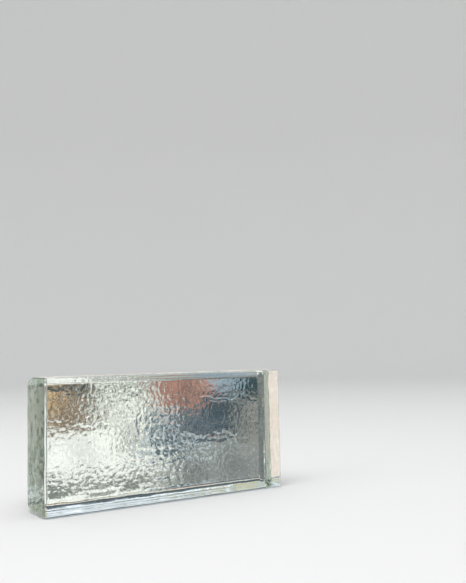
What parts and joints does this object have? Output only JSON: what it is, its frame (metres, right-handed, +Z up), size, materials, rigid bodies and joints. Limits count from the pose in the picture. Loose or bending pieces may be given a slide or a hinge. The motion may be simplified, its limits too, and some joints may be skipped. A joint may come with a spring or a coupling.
{
  "type": "solid glass block",
  "caption": "Hand-cast solid clear glass masonry block with a smooth show face, a hammered back and soft rounded edges, standing on its long bed.",
  "frame": {"origin": "centre of the footprint, on the long bed face that the block stands on", "axes": "+X along the length, +Y from the smooth show face to the hammered back, +Z up from bed to top"},
  "size_m": [0.246, 0.0486, 0.116],
  "materials": {
    "cast_glass": "clear cast glass, fire-polished show face, hammered back"
  },
  "bodies": {
    "root": {"glass_block": "cast_glass"}
  },
  "joints": []
}
